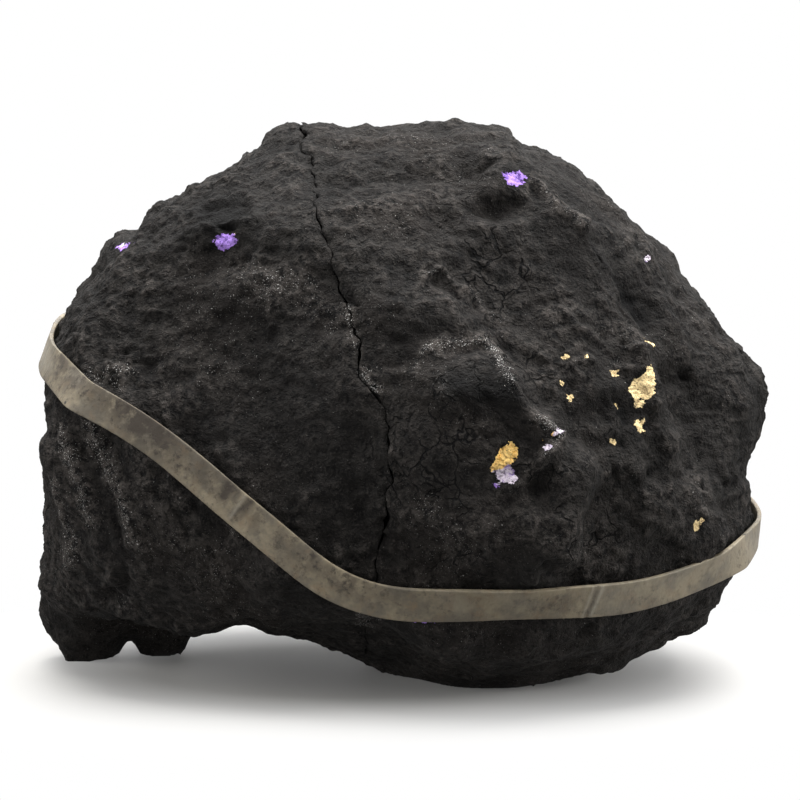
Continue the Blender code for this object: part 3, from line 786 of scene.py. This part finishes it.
def bandSurface():
    # the section carried round the loop, across by the edges and out by the thickness, with slight waves
    lower, upper, along, length = bandStations()
    across = upper - lower
    outward = np.cross(along, across)
    outward /= np.linalg.norm(outward, axis=1)[:, None]
    middle = (lower + upper) / 2
    section = np.array(band["section"])
    run = np.arange(band["stations"]) / band["stations"] * length
    points = middle[:, None] + across[:, None] * section[None, :, :1]
    points = points + outward[:, None] * section[None, :, 1:] * band["thickness"]
    spots = np.stack([np.repeat(run[:, None], len(section), axis=1),
                      np.repeat(section[None, :, 0] * band["width"], len(run), axis=0),
                      np.zeros((len(run), len(section)))], axis=2).reshape(-1, 3)
    points = points.reshape(-1, 3)
    seen = inPicture(points)
    outside = eased(0.5, 0.9, np.tile(section[:, 1], len(run)))
    ahead = outside * eased(10.0, 0.0, points[:, 1])
    marks = {}
    for kind, rows in bandMarks.items():
        marks[kind] = np.zeros(len(points))
        for *line, strength in rows:
            marks[kind] += strength * drawn(seen, line) * ahead
    lift = 0.06 * smoothNoise(spots * [0.5, 1.0, 1.0], 2.6, 401) * outside + marks.pop("height")
    points = points + np.repeat(outward, len(section), axis=0) * lift[:, None]
    faces = ringFaces(band["stations"], len(section))
    closing = np.arange(len(section))
    onward = (closing + 1) % len(section)
    top = (band["stations"] - 1) * len(section)
    seam = np.stack([top + closing, top + onward, onward, closing], axis=1)
    faces = np.concatenate([faces, seam])

    def uv(corners, count):
        # u runs along the band and v across it, both in millimetres
        quads = run[corners // len(section)].reshape(count, 4)
        overSeam = (quads < 0.5 * length) & (quads.max(axis=1)[:, None] > 0.9 * length)
        quads = np.where(overSeam, quads + length, quads)
        v = section[corners % len(section), 0] * band["width"]
        return np.stack([quads.ravel(), v], axis=1)

    return points, faces.tolist(), marks, uv


# Materials

class Wire:
    # a node's socket that takes Python's arithmetic, so that shader maths reads as a formula

    def __init__(self, tree, socket):
        self.tree = tree
        self.socket = socket

    def maths(self, operation, *others):
        node = self.tree.nodes.new("ShaderNodeMath")
        node.operation = operation
        for place, value in zip(node.inputs, (self, *others)):
            feed(self.tree, place, value)
        return Wire(self.tree, node.outputs[0])

    def __add__(self, other):
        return self.maths("ADD", other)

    def __sub__(self, other):
        return self.maths("SUBTRACT", other)

    def __rsub__(self, other):
        return (self * -1.0) + other

    def __mul__(self, other):
        return self.maths("MULTIPLY", other)

    __radd__ = __add__
    __rmul__ = __mul__

    def larger(self, other):
        return self.maths("MAXIMUM", other)

    def held(self):
        return self.maths("MAXIMUM", 0.0).maths("MINIMUM", 1.0)


def feed(tree, place, value):
    # a wire is linked, and a plain number or colour is set on the socket
    if isinstance(value, Wire):
        tree.links.new(value.socket, place)
    elif isinstance(value, tuple) and len(value) == 3 and place.type == "RGBA":
        place.default_value = (*value, 1.0)
    else:
        place.default_value = value


class Finish:
    # a material, and the one way that nodes other than maths are added to it

    def __init__(self, name, settings):
        self.material = bpy.data.materials.new(name)
        self.material.use_nodes = True
        self.tree = self.material.node_tree
        self.shader = self.tree.nodes["Principled BSDF"]
        for label, value in settings.items():
            feed(self.tree, self.shader.inputs[label], value)

    def node(self, kind, settings=None, inputs=None, output=0):
        node = self.tree.nodes.new(kind)
        for label, value in (settings or {}).items():
            setattr(node, label, value)
        for label, value in (inputs or {}).items():
            feed(self.tree, node.inputs[label], value)
        return Wire(self.tree, node.outputs[output])

    def place(self):
        return self.node("ShaderNodeTexCoord", output="Object")

    def noise(self, where, scale, detail=3.0, rough=0.5, output="Fac"):
        return self.node("ShaderNodeTexNoise", {}, {
            "Vector": where, "Scale": scale, "Detail": detail, "Roughness": rough}, output)

    def cells(self, where, scale, feature, output="Distance"):
        inputs = {"Vector": where, "Scale": scale}
        return self.node("ShaderNodeTexVoronoi", {"feature": feature}, inputs, output)

    def eased(self, value, low, high):
        return self.node("ShaderNodeMapRange", {"interpolation_type": "SMOOTHSTEP"}, {
            "Value": value, "From Min": low, "From Max": high}, "Result")

    def attribute(self, name):
        return self.node("ShaderNodeAttribute", {"attribute_name": name}, {}, "Fac")

    def blend(self, share, first, second, way="MIX"):
        return self.node("ShaderNodeMix", {"data_type": "RGBA", "blend_type": way}, {
            0: share, 6: first, 7: second}, 2)

    def vector(self, operation, inputs, output=0):
        return self.node("ShaderNodeVectorMath", {"operation": operation}, inputs, output)

    def moved(self, where, by, amount):
        shifted = self.vector("SUBTRACT", {0: by, 1: (0.5, 0.5, 0.5)})
        scaled = self.vector("SCALE", {0: shifted, "Scale": amount})
        return self.vector("ADD", {0: where, 1: scaled})

    def end(self, colour, roughness, height, reach):
        bump = self.node("ShaderNodeBump", {}, {"Height": height, "Distance": reach}, "Normal")
        for label, value in (("Base Color", colour), ("Roughness", roughness), ("Normal", bump)):
            feed(self.tree, self.shader.inputs[label], value)
        return self.material


crust = {
    "sootAndShade": (0.0062, 0.0057, 0.0053),
    # near-black laid on as painted shade where less light should fall
    "paintedShadeTone": (0.0036, 0.0034, 0.0032),
    "char": (0.0132, 0.0122, 0.0112),
    "brown": (0.0175, 0.0146, 0.0124),
    "dustAndHighlightTone": (0.0500, 0.0440, 0.0395),
    "glint": (0.55, 0.54, 0.52),
    # near-black of the dry cracks, and of painted shade in the grain's low spots, pits and hollows
    "fissureAndShade": (0.0015, 0.0015, 0.0015),
    "calcite": (0.62, 0.58, 0.52),
    # a dark and a pale tone for each kind of chip
    "chips": {
        "cream": ((0.34, 0.24, 0.12), (0.80, 0.62, 0.33)),
        "ochre": ((0.85, 0.45, 0.09), (1.00, 0.67, 0.23)),
        "violet": ((0.08, 0.03, 0.22), (0.29, 0.17, 0.52)),
        "lilac": ((0.20, 0.13, 0.33), (0.58, 0.51, 0.59)),
    },
}


def crustFinish():
    # charcoal crust with dust on what stands out, painted shade and painted highlight, dry cracks, painted
    # glints, and chips of limestone and crystal
    made = Finish("charredCrust", {"Specular IOR Level": 0.12})
    where = made.place()
    swirl = made.noise(where, 700.0, 1.0, 0.6, "Color")
    swayed = made.moved(where, swirl, 0.0016)
    slow = made.noise(where, 60.0, 1.0, 0.55)
    patches = made.noise(where, 230.0, 2.0, 0.6)
    grain = made.noise(where, 850.0, 3.0, 0.70)
    sand = made.noise(where, 2500.0, 2.0, 0.7)
    crumbs = made.cells(swayed, 640.0, "F1")
    height = made.attribute("standing")
    standing = made.eased(height, -0.35, 0.85)
    sunken = made.eased(height, -0.7, -1.5)
    dustAndHighlight = made.attribute("dustAndHighlight")

    texture = grain * 0.6 + sand * 0.4
    colour = made.blend(made.eased(patches, 0.36, 0.66), crust["sootAndShade"], crust["char"])
    colour = made.blend(made.eased(slow, 0.45, 0.75) * 0.6, colour, crust["brown"])
    # painted shade: near-black in the grain's low spots, which are the bump's hollows
    colour = made.blend(made.eased(texture, 0.49, 0.38) * 0.8, colour, crust["fissureAndShade"])
    powderAndHighlight = standing * made.eased(grain, 0.42, 0.66) + made.eased(sand, 0.53, 0.68) * 0.50
    powderAndHighlight = powderAndHighlight * (1.0 - made.eased(crumbs, 0.25, 0.75) * 0.6)
    # dust and bright grains on the drawn lines, partly painted highlight on lit crests, crack lips and the
    # left wall
    powderAndHighlight = powderAndHighlight + dustAndHighlight * made.eased(grain, 0.40, 0.60) * 1.2

    # dry cracks: broad plates with finer ones inside them, which come and go
    plates = made.cells(swayed, 215.0, "DISTANCE_TO_EDGE")
    smallPlates = made.cells(swayed, 430.0, "DISTANCE_TO_EDGE")
    dry = made.attribute("dry")
    broken = made.eased(patches, 0.40, 0.60)
    splits = (1.0 - made.eased(plates, 0.012, 0.040)) * made.eased(dry + broken * 0.5, 0.55, 1.0)
    fineSplits = (1.0 - made.eased(smallPlates, 0.012, 0.048)) * made.eased(dry * broken, 0.30, 0.6)
    # pale rims beside the dry cracks, partly dust and partly painted highlight on their lips
    powderAndHighlight = powderAndHighlight + made.eased(plates, 0.20, 0.06) * dry * 0.35
    colour = made.blend((powderAndHighlight * 0.8 * (1.0 - sunken)).held(), colour, crust["dustAndHighlightTone"])
    # painted shade: the crust turned near-black where less light should reach it
    colour = made.blend(made.attribute("paintedShade"), colour, crust["paintedShadeTone"])
    # painted shade: near-black where the relief sinks deepest, in pits, hollows and the worn rim of the
    # crack
    colour = made.blend(sunken * 0.85, colour, crust["fissureAndShade"])
    colour = made.blend(splits.larger(fineSplits) * 0.95, colour, crust["fissureAndShade"])

    # glints: tiny bright grains, partly pale grains of dust and crystal and partly painted glints of light,
    # thick on the dust lines and thin elsewhere
    thick = made.eased(slow, 0.45, 0.70).larger(dustAndHighlight * 1.3)
    sparks = made.noise(where, 5000.0, 2.0, 0.6)
    glints = made.eased(sparks + thick * 0.06 + dustAndHighlight * 0.085, 0.735, 0.80)
    colour = made.blend(glints * 0.65, colour, crust["glint"])

    # chips, their edges frayed by noise, painted shade just outside their edges, and their crystals toned
    # cell by cell
    fray = (grain - 0.5) * 1.8
    crystals = made.cells(where, 1700.0, "F1", "Color")
    sugar = made.node("ShaderNodeSeparateColor", {}, {"Color": crystals}, "Green")
    mottle = sugar * 0.35 + sand * 0.5 + grain * 0.5 - 0.15
    field = made.attribute("cream")
    for kind in ("ochre", "violet", "lilac"):
        field = field.larger(made.attribute(kind))
    chipped = made.eased(field + fray, -0.02, 0.10)
    chipEdgeShade = made.eased(field + fray * 0.4, -0.45, 0.0)
    chip = None
    for kind, (dark, pale) in crust["chips"].items():
        tone = made.blend(made.eased(mottle, 0.24, 0.55), dark, pale)
        here = made.eased(made.attribute(kind) + fray * 0.4, -0.40, -0.20)
        chip = tone if chip is None else made.blend(here, chip, tone)
    # painted shade: the crust darkened just outside each chip's recessed edge
    colour = made.blend(chipEdgeShade * 0.75, colour, crust["sootAndShade"])
    chip = made.blend(made.eased(sand, 0.42, 0.32) * 0.5, chip, crust["sootAndShade"])
    colour = made.blend(chipped, colour, chip)

    # the broken face inside the crack turns from crust to pale calcite
    inside = made.eased(made.attribute("broken"), 2.5, 7.0)
    colour = made.blend(inside, colour, crust["calcite"])

    height = grain * 0.62 + sand * 0.30 + patches * 0.35 - crumbs * 0.32 - splits * 0.50
    return made.end(colour, 0.92 - chipped * 0.35 - glints * 0.4, height, 0.0013)


rubber = {
    "tan": (0.200, 0.167, 0.112),
    "grey": (0.099, 0.085, 0.062),
    "orange": (0.150, 0.106, 0.062),
    "pale": (0.26, 0.237, 0.188),
    "smudgeAndShade": (0.040, 0.032, 0.024),
    "speck": (0.010, 0.009, 0.008),
}


def rubberFinish():
    # soiled tan rubber: cloudy greying, rusty mottling, dirt, smudges, painted shade on the left, pale marks
    # with painted highlight in the middle and on the right, specks and fine wrinkles
    made = Finish("agedRubber", {"Specular IOR Level": 0.35})
    where = made.place()
    uv = made.node("ShaderNodeUVMap", {"uv_map": "along"})
    clouds = made.noise(where, 150.0, 4.0, 0.65)
    colour = made.blend(made.eased(clouds, 0.40, 0.60), rubber["grey"], rubber["tan"])
    rust = made.noise(where, 420.0, 4.0, 0.65)
    colour = made.blend(made.eased(rust, 0.50, 0.72) * 0.7, colour, rubber["orange"])
    dirt = made.eased(made.noise(where, 800.0, 4.0, 0.7), 0.50, 0.70)
    cloudsOfDirt = made.eased(made.noise(where, 75.0, 3.0, 0.6), 0.45, 0.7)
    smudgesAndShade = made.attribute("smudgeAndShade") * made.eased(rust, 0.28, 0.52)
    # dirt and smudges, with painted shade over the band's left
    soil = (dirt * 0.50 + cloudsOfDirt * 0.40 + smudgesAndShade * 0.85).held()
    colour = made.blend(soil, colour, rubber["smudgeAndShade"])
    # pale scratches, and painted highlight over the band's middle and right
    colour = made.blend(made.attribute("pale") * 0.7, colour, rubber["pale"])
    cells = made.cells(where, 700.0, "F1")
    own = made.node("ShaderNodeSeparateColor", {}, {"Color": made.cells(where, 700.0, "F1", "Color")}, "Red")
    dots = (1.0 - made.eased(cells, 0.12, 0.28)) * made.eased(own, 0.965, 0.985)
    colour = made.blend(dots * 0.9, colour, rubber["speck"])
    wrinkled = made.vector("MULTIPLY", {0: uv, 1: (0.9, 0.5, 1.0)})
    wrinkles = made.noise(wrinkled, 1.0, 3.0, 0.6)
    height = wrinkles * 0.6 + dirt * 0.12 + rust * 0.25
    return made.end(colour, 0.58 + soil * 0.25, height, 0.00025)


# The pieces

crustMaterial = crustFinish()
for name, side in (("geode_left_half", -1), ("geode_right_half", 1)):
    points, faces, attributes = halfSurface(side)
    piece = addMesh(name.replace("geode", "crust"), points, faces, attributes)
    piece.data.materials.append(crustMaterial)
    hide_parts(name)
    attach(piece, "root")
    print(piece.name, len(points), "points,", len(faces), "faces")

points, faces, attributes, uv = bandSurface()
piece = addMesh("stretched_band", points, faces, attributes, uv)
piece.data.materials.append(rubberFinish())
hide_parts("rubber_band")
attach(piece, "root")
print(piece.name, len(points), "points,", len(faces), "faces")


# The stage: a pale floor that glows plain white away from the stone, painted light that cuts its shadow
# short, soft lights and the camera

stage = {
    "floorSide": 6.0, "floorColour": (0.44, 0.43, 0.41), "ambient": 0.14,
    # the floor glows white outside an oval, painted light at its shadow's edge: its middle, how its x
    # counts, where white starts and is full, and the least white glow everywhere, painted light in the
    # shadow
    "whiteMiddle": (-0.006, -0.003, 0.0), "whiteStretch": (0.6, 1.0, 1.0),
    "whiteFrom": 0.013, "whiteTo": 0.062, "whiteLeast": 0.045,
    # where the lights point, and each one as (name, place, size, watts)
    "lightsAim": (0.0, 0.0, 0.04),
    "lights": [
        ("overhead", (0.10, 0.12, 0.85), 0.95, 35.0),
        ("leftPanel", (-0.80, -0.15, 0.22), 0.6, 7.0),
        ("rightPanel", (0.75, -0.20, 0.18), 0.34, 4.6),
        ("frontFill", (0.10, -0.55, 0.80), 0.6, 3.0),
        ("lowFill", (0.12, -0.60, 0.07), 0.14, 0.9),
        ("backdrop", (0.0, 0.95, 0.20), 0.9, 8.0),
    ],
}


def addStage():
    # the floor, the lights, a world that only the camera sees as white, and the camera
    reach = stage["floorSide"] / 2
    corners = [(-reach, -reach, 0), (reach, -reach, 0), (reach, reach, 0), (-reach, reach, 0)]
    data = bpy.data.meshes.new("floor")
    data.from_pydata(corners, [], [(0, 1, 2, 3)])
    floor = bpy.data.objects.new("floor", data)
    bpy.context.scene.collection.objects.link(floor)
    surface = {"Base Color": stage["floorColour"], "Roughness": 0.7, "Specular IOR Level": 0.2}
    made = Finish("paleFloor", surface)
    oval = made.vector("SUBTRACT", {0: made.place(), 1: stage["whiteMiddle"]})
    oval = made.vector("MULTIPLY", {0: oval, 1: stage["whiteStretch"]})
    away = made.vector("LENGTH", {0: oval}, "Value")
    # painted light: the floor's white glow, least under the stone and full outside the oval
    whiteness = made.eased(away, stage["whiteFrom"], stage["whiteTo"]).larger(stage["whiteLeast"])
    white = made.node("ShaderNodeEmission", {}, {"Color": (1.0, 1.0, 1.0), "Strength": 1.0})
    output = made.tree.nodes["Material Output"]
    mixed = made.node("ShaderNodeMixShader", {}, {0: whiteness})
    made.tree.links.new(made.shader.outputs[0], mixed.socket.node.inputs[1])
    made.tree.links.new(white.socket, mixed.socket.node.inputs[2])
    made.tree.links.new(mixed.socket, output.inputs["Surface"])
    data.materials.append(made.material)
    floor.visible_diffuse = False

    for name, place, size, watts in stage["lights"]:
        lamp = bpy.data.lights.new(name, "AREA")
        lamp.size = size
        lamp.energy = watts
        holder = bpy.data.objects.new(name, lamp)
        holder.location = place
        aim = np.array(stage["lightsAim"]) - place
        holder.rotation_euler = (math.acos(-aim[2] / np.linalg.norm(aim)), 0.0, math.atan2(-aim[0], aim[1]))
        bpy.context.scene.collection.objects.link(holder)

    world = bpy.data.worlds.new("studio")
    world.use_nodes = True
    nodes, links = world.node_tree.nodes, world.node_tree.links
    shown = nodes["Background"]
    shown.inputs["Color"].default_value = (1.0, 1.0, 1.0, 1.0)
    soft = nodes.new("ShaderNodeBackground")
    soft.inputs["Strength"].default_value = stage["ambient"]
    path = nodes.new("ShaderNodeLightPath")
    mix = nodes.new("ShaderNodeMixShader")
    links.new(path.outputs["Is Camera Ray"], mix.inputs[0])
    links.new(soft.outputs[0], mix.inputs[1])
    links.new(shown.outputs[0], mix.inputs[2])
    links.new(mix.outputs[0], nodes["World Output"].inputs["Surface"])
    bpy.context.scene.world = world

    tilt = math.radians(picture["elevation"])
    camera = bpy.data.objects.new("camera", bpy.data.cameras.new("camera"))
    aim = (np.array(picture["aim"]) + stonePlace) * mm
    camera.location = aim + np.array([0.0, -math.cos(tilt), math.sin(tilt)]) * picture["distance"] * mm
    camera.rotation_euler = (math.pi / 2 - tilt, 0.0, 0.0)
    camera.data.sensor_width = picture["sensorWidth"]
    widthSeen = picture["side"] * picture["millimetresPerPixel"]
    camera.data.lens = picture["sensorWidth"] * picture["distance"] / widthSeen
    camera.data.clip_start = 0.01
    bpy.context.scene.collection.objects.link(camera)
    bpy.context.scene.camera = camera


addStage()
bpy.context.scene.view_settings.view_transform = "Standard"
